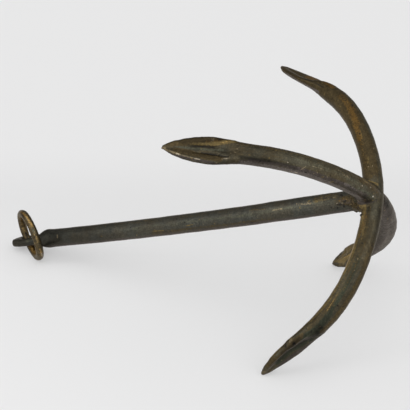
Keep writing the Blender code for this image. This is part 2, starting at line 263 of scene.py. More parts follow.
# Inside a palm a place is its distance along and its distance aside, both in mm. The near black,
# dark olive and darkening rows along a palm's hollow and creases are painted shade.
NEAR_PALM_STROKES = (
    ("loam", 270, -6.0, 205, -14.0, 6.0, 0.95),
    ("tone", 258, -7.5, 216, -13.0, 4.6, -0.46),
    ("tone", 262, 0.5, 242, 0.5, 4.0, -0.18),
    ("tone", 256, 8.0, 212, 13.0, 4.0, -0.14),
    ("ochre", 247, -5.4, 224, -7.0, 2.0, 0.72),
    ("ochre", 226, -7.2, 197, -12.0, 2.6, 1.0),
    ("gold", 214, -8.8, 204, -10.8, 0.8, 0.62),
    ("rust", 230, -9.0, 214, -11.5, 1.6, 0.62),
    ("soot_and_crease_shade", 246, -3.2, 222, -3.6, 0.8, 0.80),
    ("tone", 250, -3.1, 218, -3.6, 1.6, -0.20),
    ("moss", 262, -0.4, 212, -1.0, 1.9, 0.66),
    ("tone", 246, -1.0, 208, -1.0, 3.0, -0.20),
    ("tone", 230, 3.8, 219, 4.8, 2.2, -0.20),
    ("soot_and_crease_shade", 236, 3.2, 220, 4.6, 1.0, 0.62),
    ("soot_and_crease_shade", 226, 4.0, 219, 4.7, 1.3, 0.90),
    ("soot_and_crease_shade", 215, 6.0, 205, 7.6, 0.9, 0.90),
    ("tan", 219, 1.9, 206, 3.6, 0.5, 0.45),
    ("tan", 213, 5.0, 206, 5.8, 0.5, 0.45),
    ("cream", 209, 10.6, 204, 9.2, 0.9, 0.52),
    ("tan", 211, 11.0, 203, 8.8, 1.6, 0.50),
    ("loam", 262, 4.0, 214, 10.5, 4.4, 0.95),
    ("tone", 256, 6.0, 222, 10.0, 2.6, -0.10),
    ("tan", 273, 4.6, 257, 9.2, 0.8, 0.80),
    ("tan", 257, 9.2, 236, 13.2, 0.7, 0.72),
    ("cream", 262, 8.0, 259, 8.8, 0.8, 0.80),
    ("cream", 241, 12.4, 236, 13.2, 0.8, 0.95),
    ("umber_and_floor_bounce", 268, 9.0, 212, 17.5, 1.6, 0.80),
    ("tone", 262, 11.5, 206, 17.5, 1.4, -0.25),
    ("tan", 282, 2.5, 275, 2.5, 2.4, 0.62),
    ("tone", 246, -5.6, 226, -10.0, 2.2, -0.12),
    ("tone", 214, 5.0, 200, 8.2, 1.6, 0.14),
    ("tone", 247, 3.0, 239, 3.2, 1.4, 0.14),
)
BOW_STROKES = (
    # the arm that rises behind
    ("loam", 30, 96, 250, 90, 14, 0.85),
    ("tone", 236, 112, 30, 112, 7, -0.14),
    ("rust", 146, 118, 118, 112, 5.6, 0.50),
    ("rust", 124, 108, 96, 96, 6.0, 0.56),
    ("rust", 118, 108, 104, 100, 2.6, 0.85),
    ("rust", 98, 90, 76, 78, 5.0, 0.62),
    ("tone", 126, 108, 92, 92, 3.0, 0.10),
    ("rust", 84, 80, 36, 82, 5.0, 0.36),
    ("rust", 206, 122, 164, 126, 3.4, 0.85),
    ("rust", 216, -140, 190, -160, 4.0, 0.75),
    ("ochre", 84, 96, 76, 92, 1.6, 0.75),
    ("ochre", 46, 98, 40, 94, 2.0, 0.62),
    ("ochre", 182, 112, 178, 108, 1.4, 0.75),
    # near black, dark olive and darkening rows in the root groove are painted shade
    ("soot_and_crease_shade", 206, 82, 174, 92, 1.2, 0.55),
    ("weed_and_shade", 208, 72, 168, 84, 3.6, 0.80),
    ("moss", 204, 74, 170, 84, 1.8, 0.75),
    ("tone", 206, 76, 172, 86, 3.2, -0.16),
    ("tone", 190, 104, 160, 116, 2.4, -0.24),
    ("loam", 266, 84, 216, 88, 5.0, 0.95),
    ("dust", 240, 64, 182, 50, 2.4, 0.60),
    ("tone", 240, 62, 186, 50, 2.4, 0.14),
    ("tone", 262, 80, 226, 80, 16, -0.16),
    ("tone", 160, 158, 30, 162, 3.4, 0.10),
    ("tone", 120, 101, 104, 101, 2.4, -0.12),
    ("tone", 150, 62, 24, 70, 4.0, 0.22),
    # the arm that reaches down in front: ochre and lightening along its left side are partly rubbed
    # wear and partly a painted highlight where the left light falls; the dark olive and darkening
    # across its middle are painted shade
    ("ochre", -16, 62, -62, 46, 5.4, 0.66),
    ("loam", -14, 96, -180, 92, 4.6, 0.52),
    ("ochre", -62, 50, -104, 52, 5.2, 0.74),
    ("ochre", -104, 52, -182, 54, 5.0, 0.62),
    ("ochre", -188, 66, -238, 84, 2.8, 0.68),
    ("tone", -190, 66, -236, 84, 2.8, 0.16),
    ("tone", -188, 110, -204, 107, 2.0, -0.32),
    ("weed_and_shade", -176, 118, -206, 110, 2.6, 0.90),
    ("tone", -176, 156, -200, 176, 3.4, -0.24),
    ("weed_and_shade", -172, 156, -202, 176, 3.4, 0.90),
    ("tone", -204, 111, -244, 118, 2.0, -0.34),
    ("weed_and_shade", -204, 110, -246, 114, 1.6, 0.90),
    ("tan", -205, 94, -208, 94, 1.2, 0.62),
    ("loam", -184, 62, -250, 80, 5.0, 0.80),
    ("tone", -18, 64, -160, 60, 5.2, 0.34),
    ("tone", -20, 100, -64, 98, 3.4, -0.24),
    ("tone", -60, 106, -186, 108, 3.4, -0.14),
    ("rust", -26, 84, -56, 70, 2.4, 0.52),
    ("gold", -136, 92, -153, 102, 0.9, 0.46),
    ("tone", -70, 38, -130, 38, 3.4, 0.22),
    ("tone", -34, 84, -58, 84, 2.4, 0.16),
    ("ochre", -30, 82, -60, 84, 2.8, 0.44),
    ("tone", -72, 76, -130, 74, 2.4, 0.14),
    ("tone", -34, 124, -60, 122, 2.4, -0.30),
    ("tone", -34, 146, -60, 146, 2.0, 0.16),
    ("tone", -10, -176, -112, -174, 3.2, -0.28),
    ("tone", -80, 108, -112, 108, 2.6, -0.16),
    ("tone", -140, 100, -180, 108, 3.4, -0.16),
    ("tone", -140, 40, -176, 44, 3.0, -0.10),
    ("gold", -60, 42, -98, 48, 0.9, 0.72),
    ("tan", -206, 84, -208, 84, 1.0, 0.55),
    ("loam", -60, 110, -120, 104, 3.0, 0.52),
    ("weed_and_shade", -18, 100, -80, 104, 3.0, 0.52),
    ("weed_and_shade", -80, 106, -150, 112, 4.0, 0.74),
    ("weed_and_shade", -150, 120, -184, 136, 4.6, 0.85),
    ("tone", -146, 130, -168, 136, 3.2, -0.18),
    ("tone", -26, 58, -38, 58, 3.0, 0.34),
    ("tone", -108, 78, -150, 86, 2.8, 0.24),
    ("tone", -110, 138, -144, 144, 2.6, -0.12),
    ("weed_and_shade", -120, 106, -176, 108, 4.0, 0.50),
    ("tone", -84, 138, -174, 132, 4.6, -0.30),
    ("tone", -18, 156, -62, 156, 3.6, -0.20),
    ("tone", -70, 150, -150, 150, 3.6, 0.10),
    ("loam", -60, 172, -170, 168, 5.0, 0.72),
    ("tone", -12, 120, -20, 112, 3.6, -0.18),
    ("soot_and_crease_shade", -20, 166, -38, 174, 0.8, 0.50),
    ("tone", -16, 160, -44, 170, 1.6, -0.20),
    ("tan", -168, 132, -170, 130, 1.2, 0.60),
)
# near black, dark olive and darkening rows along the hollow are painted shade
BOW_PALM_STROKES = (
    ("soot_and_crease_shade", -168, 9.6, -238, 5.2, 2.2, 0.40),
    ("soot_and_crease_shade", -174, 3.0, -226, 1.0, 4.6, 0.30),
    ("tone", -170, 5.0, -236, 2.2, 5.4, -0.40),
    ("tone", -176, -5.0, -236, -6.0, 6.0, -0.20),
    ("tone", -196, 16.0, -222, 13.5, 2.6, -0.36),
    ("loam", -190, 16.0, -246, 9.0, 3.4, 0.90),
    ("umber_and_floor_bounce", -186, -11.0, -240, -8.0, 3.0, 0.85),
    ("weed_and_shade", -176, 1.0, -236, 0.0, 6.0, 0.90),
    ("tone", -176, 0.0, -206, -2.0, 6.0, -0.14),
    ("ochre", -226, 10.5, -238, 9.0, 0.9, 0.42),
    ("chalk", -224.6, 8.2, -225.4, 8.0, 0.6, 1.0),
    ("tan", -262, 3.0, -254, 3.0, 3.0, 0.50),
    ("loam", 200, -4.0, 246, -2.0, 8.0, 0.60),
)
FAR_STROKES = (
    ("umber_and_floor_bounce", 10, -130, 170, -96, 18, 0.80),
    ("tone", -6, -178, 14, -170, 6.0, -0.60),
    ("tone", 34, -150, 48, -140, 3.0, 0.14),
    ("tone", 62, -128, 92, -116, 3.0, -0.16),
    ("tone", 100, -112, 120, -96, 3.6, 0.16),
    ("dust", 44, -132, 70, -138, 2.2, 0.60),
    ("loam", -4, -178, 14, -164, 6.0, 0.95),
    ("tone", 20, -150, 60, -132, 4.0, -0.10),
    ("tone", 40, -96, 150, -84, 4.0, 0.08),
    ("tone", 40, -64, 150, -36, 4.6, -0.36),
    ("tone", 66, -104, 74, -96, 2.6, -0.18),
    ("tone", 92, -88, 98, -80, 2.6, -0.16),
    ("tone", 118, -86, 122, -92, 2.4, 0.14),
    ("tone", 8, -162, 34, -146, 5.0, -0.22),
    ("tone", 40, -128, 150, -100, 12, -0.08),
    ("loam", 70, -84, 110, -80, 4.0, 0.55),
    ("dust", 110, -100, 160, -96, 5.0, 0.62),
    ("tone", 10, -130, 170, -96, 16, -0.12),
    ("dust", 60, -104, 130, -86, 2.6, 0.62),
    ("moss", 18, -146, 26, -136, 3.0, 0.55),
    ("loam", 6, -156, 36, -138, 6.0, 0.85),
    ("loam", 40, -106, 66, -112, 4.0, 0.62),
    ("ochre", 36, -116, 40, -114, 1.2, 0.55),
    ("loam", 20, 20, 200, 20, 12, 0.80),
    ("ochre", 210, 70, 236, 34, 6.0, 1.0),
    ("ochre", 234, 30, 262, -20, 6.0, 1.0),
    ("ochre", 214, -10, 250, -66, 7.0, 1.0),
    ("gold", 214, -14, 240, -24, 2.2, 0.46),
    ("tone", 206, -10, 252, -46, 7.0, 0.50),
    ("tan", 222, 40, 240, 20, 1.2, 0.60),
    ("tone", 250, -70, 234, -94, 3.0, 0.26),
    ("cream", 232, 10, 231, 10, 0.8, 0.80),
    ("soot_and_crease_shade", 248, -84, 264, -60, 0.9, 0.80),
    ("rust", 60, 60, 120, 80, 5.0, 0.60),
    ("tone", 264, -40, 272, -40, 4.0, -0.45),
    ("moss", 60, 150, 150, 160, 5.0, 0.55),
)
FAR_PALM_STROKES = (
    ("soot_and_crease_shade", 206, 2.0, 238, 1.0, 1.4, 0.75),
    ("ochre", 210, -8.0, 246, -5.0, 2.2, 0.80),
    ("moss", 210, 5.0, 246, 3.0, 2.2, 0.75),
    ("tan", 216, -14.0, 244, -8.0, 0.8, 0.75),
    ("dust", 216, 14.0, 250, 7.0, 1.6, 0.75),
)
# lightening rows on the ring are painted highlights, its darkening rows along the wire's sides and
# bottom painted shade
RING_STROKES = (
    ("tone", -101, 20, 101, 20, 30, -0.16),
    ("gold", -52, 14, -76, 6, 2.6, 0.52),
    ("gold", -60, 6, -68, 2, 1.6, 0.74),
    ("tone", -54, 10, -74, 6, 2.4, 0.14),
    ("rust", -44, 30, -58, 18, 2.0, 0.90),
    ("tan", -60, 26, -66, 20, 0.8, 0.90),
    ("soot_and_crease_shade", -50, 52, -58, 44, 1.0, 0.80),
    ("gold", -84, 12, -96, 8, 1.8, 0.46),
    ("gold", 99, 8, 90, 4, 1.6, 0.44),
    ("tone", -76, 10, 96, 10, 2.4, 0.20),
    ("moss", -80, 8, -86, 6, 1.4, 0.80),
    ("soot_and_crease_shade", 98, 26, 95, 22, 0.8, 0.70),
    ("tone", -30, -50, -101, -50, 3.6, -0.34),
    ("tone", 101, -50, 70, -50, 3.6, -0.34),
    ("rust", 24, 168, 66, 166, 4.0, 1.0),
    ("gold", 34, 168, 64, 158, 2.0, 0.46),
    ("tone", 20, 168, 62, 168, 4.0, 0.36),
    ("gold", 70, 134, 76, 128, 0.8, 0.62),
    ("tone", 74, 20, 84, 8, 2.2, -0.34),
    ("cream", 87, -14, 91, -4, 1.0, 1.0),
    ("cream", 83, -20, 86, -12, 0.9, 0.85),
    ("tone", -92, 8, 98, 8, 2.0, 0.16),
    ("gold", 84, -16, 94, -12, 1.8, 0.52),
    ("gold", -10, 166, 6, 162, 1.8, 0.44),
    ("tone", -30, 170, 6, 168, 3.0, 0.34),
    ("rust", -36, 150, -14, 168, 1.4, 0.75),
    ("soot_and_crease_shade", 10, 176, 22, 176, 1.4, 0.80),
    ("tone", -71, 14, -79, 10, 1.8, -0.16),
    ("tone", -95, 8, -101, 8, 1.8, 0.18),
    ("tone", -5, 164, 6, 162, 2.2, -0.16),
)
# At the crown a place is in mm from its centre: out along the shank, to the near side, upwards.
# The near black and darkening rows are painted shade in the crown's gaps.
CROWN_STROKES = (
    ("ochre", (-5, -2, 21), (9, -2, 14), 1.6, 1.0),
    ("tan", (-3, -3, 20), (8, -2, 14), 0.7, 0.85),
    ("soot_and_crease_shade", (2, 26, 7), (3, 30, 12), 1.3, 0.50),
    ("tone", (4, 22, 4), (5, 31, 14), 3.5, -0.16),
    ("soot_and_crease_shade", (5, 19, -5), (12, 9, -10), 0.6, 0.85),
    ("loam", (-32, 12, 4), (-12, 17, -5), 6.0, 0.95),
    ("tone", (-32, 12, 4), (-12, 17, -5), 6.0, -0.10),
    ("rust", (-26, 13, 4), (-16, 17, -3), 1.6, 0.38),
    ("tan", (-12, 18, -4), (3, 21, -6), 2.0, 0.22),
    ("soot_and_crease_shade", (-9, 26, -12), (-10, 26, -13), 2.0, 1.0),
)

# Folds press the skin inside a palm, dents the skin round a bar. Places are given as for the
# strokes: start, end, half width in mm, and height in mm, which is below 0 for a hollow.
NEAR_PALM_FOLDS = (
    (250, -3.1, 220, -3.6, 1.1, -0.8),
    (244, 3.0, 217, 4.8, 1.8, -1.1),
    (226, 4.2, 217, 4.8, 1.4, -0.8),
    (215, 6.4, 206, 7.6, 0.9, -0.8),
    (222, 1.6, 206, 3.6, 0.8, 0.45),
    (213, 4.8, 205, 5.4, 0.6, 0.40),
    (212, 10.8, 202, 8.8, 1.6, 0.60),
    (271, 5.2, 236, 13.0, 1.0, 0.35),
    (242, -6.0, 200, -11.4, 2.4, 0.80),
    (262, -0.2, 216, -0.4, 1.6, 0.35),
)
BOW_PALM_FOLDS = (
    (-172, 9.0, -238, 5.6, 2.8, -1.0),
    (-178, 4.0, -234, 1.6, 3.4, -0.9),
)
FAR_PALM_FOLDS = (
    (206, 2.0, 238, 1.0, 1.4, -0.8),
    (212, 5.0, 230, 4.0, 1.0, 0.4),
)
NEAR_DENTS = (
    (279, 140, 264, 120, 3.0, 1.3),
    (118, 150, 123, 128, 0.7, -0.25),
    (60, 176, 70, 178, 2.0, 0.15),
    (66, 40, 74, 50, 2.0, -0.30),
)
BOW_DENTS = (
    (188, 128, 166, 122, 5.0, 1.5),
    (206, 100, 176, 108, 2.0, 0.5),
    (-28, 52, -29, 52, 1.5, 2.6),
    (-184, 78, -210, 91, 7.0, 1.9),
    (-226, 100, -240, 106, 6.0, 1.0),
    (-136, 92, -153, 102, 1.4, 0.25),
    (-60, 140, -64, 150, 1.6, -0.30),
    (150, 100, 158, 104, 2.0, -0.25),
)
SHANK_DENTS = (
    (488, -115, 488, -5, 7.0, 0.5),
    (488, 5, 488, 115, 7.0, 0.5),
    (488, 125, 488, 235, 7.0, 0.5),
    (124, 4, 44, 2, 7.0, 0.7),
    (76, -47, 66, -50, 2.4, 0.25),
    (236, -60, 228, -54, 2.2, -0.25),
    (380, -40, 372, -48, 2.0, -0.20),
    (462, -74, 462, -50, 0.9, 0.20),
)
FAR_DENTS = (
    (234, 34, 254, 10, 4.0, -1.5),
    (250, 48, 263, 42, 3.2, -1.6),
    (60, -128, 146, -98, 8.0, -1.2),
    (244, 62, 262, 54, 5.0, -1.8),
    (242, -95, 262, -76, 4.0, -1.8),
    (262, -36, 270, -40, 2.0, 0.8),
    (100, -60, 112, -70, 2.4, -0.30),
    (60, 100, 70, 110, 2.2, -0.30),
)
RING_DENTS = (
    (-72, 40, -58, 40, 1.6, -0.35),
    (80, 0, 96, 0, 3.0, 0.40),
    (88, -60, 94, 60, 0.7, -0.45),
    (-14, 180, -2, 180, 3.0, -0.35),
)

# Tiny marks scattered over a piece: paint, count, smallest and largest half width, strength.
FLECKS = (
    ("tan", 46, 0.35, 0.8, 0.95),
    ("ochre", 40, 0.5, 1.4, 0.58),
    ("soot_and_crease_shade", 60, 0.4, 1.2, 0.80),
)
FLECK_RUN, FLECK_SWING = 1.5, 6          # largest length in mm and turn in degrees
PITS_PER_BAR = 46
PIT_RUN = 1                              # mm along the bar
PIT_WIDTHS, PIT_HOLES = (0.6, 1.4), (-0.30, -0.12)    # mm
CRUST_GRAINS = (
    ("soot_and_crease_shade", 26, 0.7, 1.4, 1.0),
    ("cream", 6, 0.35, 0.6, 1.0),
    ("rust", 10, 0.6, 1.2, 0.60),
)
CRUST_STRETCH = (9, 30)                  # mm along the shank

# ---- working on objects --------------------------------------------------------------------
def activate(obj):
    bpy.ops.object.select_all(action="DESELECT")
    obj.select_set(True)
    bpy.context.view_layer.objects.active = obj


def apply_modifier(obj, kind, **values):
    activate(obj)
    modifier = obj.modifiers.new(kind.lower(), kind)
    for key, value in values.items():
        setattr(modifier, key, value)
    bpy.ops.object.modifier_apply(modifier=modifier.name)


def bare_copy(node, name):
    """A merged copy of a CAD node, free of its body."""
    obj = bpy.data.objects.new(name, frame["nodes"][node].data.copy())
    bpy.context.scene.collection.objects.link(obj)
    obj.data.materials.clear()
    activate(obj)
    bpy.ops.object.mode_set(mode="EDIT")
    bpy.ops.mesh.select_all(action="SELECT")
    bpy.ops.mesh.remove_doubles(threshold=MERGE_DISTANCE)
    bpy.ops.mesh.normals_make_consistent(inside=False)
    bpy.ops.object.mode_set(mode="OBJECT")
    return obj


def reskin(obj, grain):
    """One even, closed mesh in place of the old one."""
    apply_modifier(obj, "REMESH", mode="VOXEL", voxel_size=grain, adaptivity=0.0)


def refined(node, name, grain, smoothing, swell):
    """A fine even skin over a CAD node, with its facets smoothed away."""
    obj = bare_copy(node, name)
    reskin(obj, grain)
    apply_modifier(obj, "SMOOTH", factor=SMOOTHING_PULL, iterations=smoothing)
    put(obj, places(obj) + normals(obj) * swell)
    obj.data.shade_smooth()
    return obj


def uneven(obj, size, depth):
    """Soft swells and hollows of one size, as hammering or rust leaves them."""
    texture = bpy.data.textures.new("unevenness", "CLOUDS")
    texture.noise_scale = size
    texture.noise_depth = 1
    apply_modifier(obj, "DISPLACE", texture=texture, texture_coords="LOCAL", strength=depth)


def places(obj):
    co = np.empty(len(obj.data.vertices) * 3)
    obj.data.vertices.foreach_get("co", co)
    return co.reshape(-1, 3)


def put(obj, co):
    obj.data.vertices.foreach_set("co", co.astype(np.float32).ravel())
    obj.data.update()


def normals(obj):
    found = np.empty(len(obj.data.vertices) * 3, np.float32)
    obj.data.vertex_normals.foreach_get("vector", found)
    return found.reshape(-1, 3).astype(float)


def write(obj, name, values):
    """A value or a vector for each point, for the materials to read."""
    kind = "FLOAT" if values.ndim == 1 else "FLOAT_VECTOR"
    key = "value" if values.ndim == 1 else "vector"
    attribute = obj.data.attributes.new(name, kind, "POINT")
    attribute.data.foreach_set(key, values.astype(np.float32).ravel())


def smoothstep(low, high, values):
    t = np.clip((values - low) / (high - low), 0.0, 1.0)
    return t * t * (3 - 2 * t)


def unit(rows):
    return rows / np.linalg.norm(rows, axis=-1, keepdims=True)


# ---- where a point lies on its bar -----------------------------------------------------------
def middle_line(co, order):
    """The smoothed middle of a bar at each station, and the order's value there."""
    edges = np.linspace(order.min(), order.max(), STATIONS + 1)
    which = np.clip(np.digitize(order, edges) - 1, 0, STATIONS - 1)
    sums = np.zeros((STATIONS, 3))
    np.add.at(sums, which, co)
    line = sums / np.bincount(which, minlength=STATIONS)[:, None]
    for _ in range(LINE_SMOOTHING):
        line[1:-1] = (line[:-2] + 2 * line[1:-1] + line[2:]) / 4
    return line, (edges[1:] + edges[:-1]) / 2


class Bar:
    """Each point's distance along a bar and its turn around it."""

    loop = OPEN_ENDED
    girth = 2 * math.pi * BAR_RADIUS

    def __init__(self, co, order, pivot=None):
        line, middles = middle_line(co, order)
        steps = np.linalg.norm(np.diff(line, axis=0), axis=1)
        lengths = np.concatenate([[0.0], np.cumsum(steps)])
        crown = np.interp(0.0, middles, lengths)
        tangents = unit(np.gradient(line, axis=0))
        towards = np.tile(UP, (STATIONS, 1)) if pivot is None else pivot - line
        towards -= tangents * (towards * tangents).sum(1, keepdims=True)
        towards = unit(towards)
        sideways = np.cross(tangents, towards)

        def at(table):
            return np.stack([np.interp(order, middles, table[:, k]) for k in range(3)], axis=1)

        spoke = co - at(line)
        self.along = np.interp(order, middles, lengths) - crown
        self.aside = (spoke * at(sideways)).sum(1)
        self.inward = (spoke * at(towards)).sum(1)
        self.around = np.arctan2(self.aside, self.inward)


class Loop:
    """The same for a ring: the distance round it and the turn around its wire."""

    loop = 2 * math.pi * RING_RADIUS
    girth = 2 * math.pi * WIRE_RADIUS

    def __init__(self, co, centre, axis):
        spoke = co - centre
        height = spoke @ axis
        first = unit(np.cross(axis, UP))
        second = np.cross(axis, first)
        self.turn = np.arctan2(spoke @ second, spoke @ first)
        reach = np.hypot(spoke @ first, spoke @ second)
        self.along = self.turn * RING_RADIUS
        self.around = np.arctan2(height, reach - RING_RADIUS)


def shank_direction():
    co = places(frame["nodes"]["shank"])
    middle = co.mean(0)
    axis = np.linalg.svd(co - middle, full_matrices=False)[2][0]
    return axis if axis[0] < 0 else -axis


UP_SHANK = shank_direction()
NEAR_SIDE = unit(np.array([0.0, -1.0, 0.0]) + UP_SHANK * UP_SHANK[1])
UPWARDS = np.cross(UP_SHANK, NEAR_SIDE)
weld_low, weld_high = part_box("crown_weld")
CROWN = np.array(weld_low + weld_high) / 2 - UP_SHANK * CROWN_INSET
PIVOT = CROWN + UP_SHANK * PIVOT_FROM_CROWN


def turn_round_pivot(co, radial):
    """Angle of each point round the pivot: 0 at the crown, growing towards radial."""
    arm = co - PIVOT
    return np.arctan2(arm @ radial, -(arm @ UP_SHANK))


def arm_radial(co, side):
    """Direction in which an arm leaves the shank: towards its farthest point on that side."""
    off = co - PIVOT
    off = off - np.outer(off @ UP_SHANK, UP_SHANK)
    reach = np.linalg.norm(off, axis=1) * (np.sign(off[:, 1]) == side)
    return unit(off[reach.argmax()])


def at_crown(co):
    """Places in the crown's own directions: out along the shank, near side, upwards."""
    off = co - CROWN
    return np.stack([-(off @ UP_SHANK), off @ NEAR_SIDE, off @ UPWARDS], axis=1)


# ---- strokes: how far each point lies from a short line on a piece ---------------------------
def beside_line(points, start, end):
    start, end = np.array(start, float), np.array(end, float)
    run = end - start
    share = np.clip((points - start) @ run / max(run @ run, 1e-12), 0.0, 1.0)
    return np.linalg.norm(points - start - share[:, None] * run, axis=1)


def wrapped(value, whole):
    """The value brought to within half of the whole from 0."""
    return (value + whole / 2) % whole - whole / 2


def beside_round(bar, along_1, turn_1, along_2, turn_2):
    """Distance in mm from a line on a bar's round side."""
    half_turn = wrapped(turn_2 - turn_1, FULL_TURN) / 2
    middle = (along_1 + along_2) * MILLI / 2
    along = wrapped(bar.along - middle, bar.loop)
    turn = wrapped(np.degrees(bar.around) - (turn_1 + half_turn), FULL_TURN)
    degree = bar.girth / FULL_TURN
    points = np.stack([along, turn * degree], axis=1)
    start = (along_1 * MILLI - middle, -half_turn * degree)
    end = (along_2 * MILLI - middle, half_turn * degree)
    return beside_line(points, start, end) / MILLI


def beside_palm(bar, along_1, aside_1, along_2, aside_2):
    """Distance in mm from a line across a palm, on its hollow side only."""
    points = np.stack([bar.along, bar.aside], axis=1)
    start = (along_1 * MILLI, aside_1 * MILLI)
    end = (along_2 * MILLI, aside_2 * MILLI)
    gap = beside_line(points, start, end) / MILLI
    return gap + FAR_AWAY * smoothstep(-PALM_RIM, PALM_RIM, bar.inward)


def soft_edge(gap, half_width):
    return 1.0 - smoothstep(STROKE_CORE * half_width, STROKE_END * half_width, gap)


def scattered(rng, marks, stretch):
    """Rows for tiny marks at random places round a bar."""
    rows = []
    for paint, count, small, large, strength in marks:
        for _ in range(count):
            along = rng.uniform(*stretch)
            turn = rng.uniform(-FULL_TURN / 2, FULL_TURN / 2)
            run = rng.uniform(-FLECK_RUN, FLECK_RUN)
            swing = rng.uniform(-FLECK_SWING, FLECK_SWING)
            rows.append((paint, along, turn, along + run, turn + swing,
                         rng.uniform(small, large), strength))
    return rows


def random_pits(rng, stretch):
    """Rows for shallow pits at random places round a bar."""
    rows = []
    for _ in range(PITS_PER_BAR):
        along = rng.uniform(*stretch)
        turn = rng.uniform(-FULL_TURN / 2, FULL_TURN / 2)
        width, hole = rng.uniform(*PIT_WIDTHS), rng.uniform(*PIT_HOLES)
        rows.append((along, turn, along + PIT_RUN, turn, width, hole))
    return rows


def reach_of(bar):
    return bar.along.min() / MILLI, bar.along.max() / MILLI


class Coat:
    """How strongly each paint covers each point of a piece, and the points' tone, which is mostly
    painted light and shade.
    """

    def __init__(self, count):
        self.paints = {name: np.zeros(count) for name in PAINTS}
        self.tone = np.ones(count)

    def lay(self, paint, cover, strength):
        """Paints keep the strongest stroke; the lightening and darkening of painted light and shade
        adds up.
        """
        if paint == "tone":
            self.tone += strength * cover
        else:
            self.paints[paint] = np.maximum(self.paints[paint], strength * cover)

    def strokes(self, bar, rows, beside):
        for paint, *ends, half_width, strength in rows:
            self.lay(paint, soft_edge(beside(bar, *ends), half_width), strength)

    def crown_strokes(self, co):
        spots = at_crown(co) / MILLI
        for paint, start, end, half_width, strength in CROWN_STROKES:
            self.lay(paint, soft_edge(beside_line(spots, start, end), half_width), strength)

    def undersides(self, facing, strength):
        """Painted floor reflection: a pinkish umber where the surface looks down."""
        self.lay("umber_and_floor_bounce", 1.0 - smoothstep(BOUNCE_FULL, BOUNCE_NONE, facing[:, 2]), strength)

    def write_to(self, obj):
        for name, values in self.paints.items():
            write(obj, name, values)
        write(obj, "tone", self.tone)


def press(obj, bar, rows, beside):
    """Folds, dents and lumps: each pushes the skin in or out beside its line."""
    height = np.zeros(len(obj.data.vertices))
    for *ends, half_width, rise in rows:
        height += rise * np.exp(-(beside(bar, *ends) / half_width) ** 2)
    put(obj, places(obj) + normals(obj) * height[:, None] * MILLI)


def crust_cover(co):
    """1 in the crust round the shank's crown end, fading to 0 outside it."""
    out, near, up = at_crown(co).T
    band = smoothstep(CRUST_FROM, CRUST_FROM + CRUST_EDGE, out)
    band *= 1.0 - smoothstep(CRUST_TO - CRUST_EDGE, CRUST_TO, out)
    spread = np.hypot(near, up)
    return band * (1.0 - smoothstep(CRUST_RADIUS - CRUST_EDGE / 2, CRUST_RADIUS, spread))


def raise_crust(obj):
    """Rough lumps and pits where the bars were burnt together."""
    co = places(obj)
    facing = normals(obj)
    cover = crust_cover(co)
    for index in np.flatnonzero(cover > CRUST_FAINTEST):
        lump = noise.noise(Vector(co[index]) / CRUST_SIZE)
        co[index] += facing[index] * cover[index] * CRUST_HEIGHT * lump
    put(obj, co)


# ---- pieces ----------------------------------------------------------------------------------
def dressed_shank():
    obj = refined("shank", "shank_bar", BAR_GRAIN, FACET_SMOOTHING, BAR_SWELL)
    co = places(obj)
    bar = Bar(co, (co - CROWN) @ UP_SHANK)
    past_end = np.maximum(bar.along - TANG_END, 0.0)
    put(obj, co - past_end[:, None] * UP_SHANK)
    press(obj, bar, SHANK_DENTS, beside_round)
    press(obj, bar, random_pits(rng, reach_of(bar)), beside_round)
    return obj, bar


def dressed_arm(node, name, side, folds, dents):
    obj = refined(node, name, BAR_GRAIN, FACET_SMOOTHING, BAR_SWELL)
    co = places(obj)
    bar = Bar(co, turn_round_pivot(co, arm_radial(co, side)), PIVOT)
    press(obj, bar, folds, beside_palm)
    press(obj, bar, dents, beside_round)
    press(obj, bar, random_pits(rng, reach_of(bar)), beside_round)
    return obj, bar


def dressed_ring():
    obj = refined("ring", "hauling_ring", RING_GRAIN, RING_SMOOTHING, RING_SWELL)
    mount = frame["record"]["mounts"][0]
    loop = Loop(places(obj), np.array(mount["pos_m"]), unit(np.array(mount["axis"])))
    press(obj, loop, RING_DENTS, beside_round)
    return obj, loop


def cut_away(obj, unwanted):
    """Deletes the unwanted points and closes the openings that they leave."""
    bpy.ops.object.mode_set(mode="EDIT")
    bpy.ops.mesh.select_mode(type="VERT")
    bpy.ops.mesh.select_all(action="DESELECT")
    bpy.ops.object.mode_set(mode="OBJECT")
    obj.data.vertices.foreach_set("select", unwanted)
    bpy.ops.object.mode_set(mode="EDIT")
    bpy.ops.mesh.delete(type="VERT")
    bpy.ops.mesh.select_all(action="SELECT")
    bpy.ops.mesh.fill_holes(sides=0)
    bpy.ops.object.mode_set(mode="OBJECT")


def joined_crown():
    """The bars' meeting ends as one closed skin."""
    parts = [bare_copy(node, "crown_" + node)
             for node in ("shank", "long_bow", "near_half_arm", "far_half_arm", "crown_weld")]
    activate(parts[0])
    for part in parts:
        part.select_set(True)
    bpy.ops.object.join()
    obj = bpy.context.active_object
    obj.name = "crown_filler"
    reskin(obj, WELD_GRAIN)
    cut_away(obj, np.linalg.norm(places(obj) - CROWN, axis=1) > WELD_REACH)
    reskin(obj, WELD_GRAIN)
    apply_modifier(obj, "SMOOTH", factor=SMOOTHING_PULL, iterations=WELD_SMOOTHING)
    obj.data.shade_smooth()
    return obj


rng = np.random.default_rng(SEED)
shank, shank_bar = dressed_shank()
bow, bow_bar = dressed_arm("long_bow", "long_bow_bar", 1, BOW_PALM_FOLDS, BOW_DENTS)
near_arm, near_bar = dressed_arm("near_half_arm", "near_arm_bar", -1, NEAR_PALM_FOLDS, NEAR_DENTS)
far_arm, far_bar = dressed_arm("far_half_arm", "far_arm_bar", 1, FAR_PALM_FOLDS, FAR_DENTS)
ring, ring_loop = dressed_ring()
weld = joined_crown()

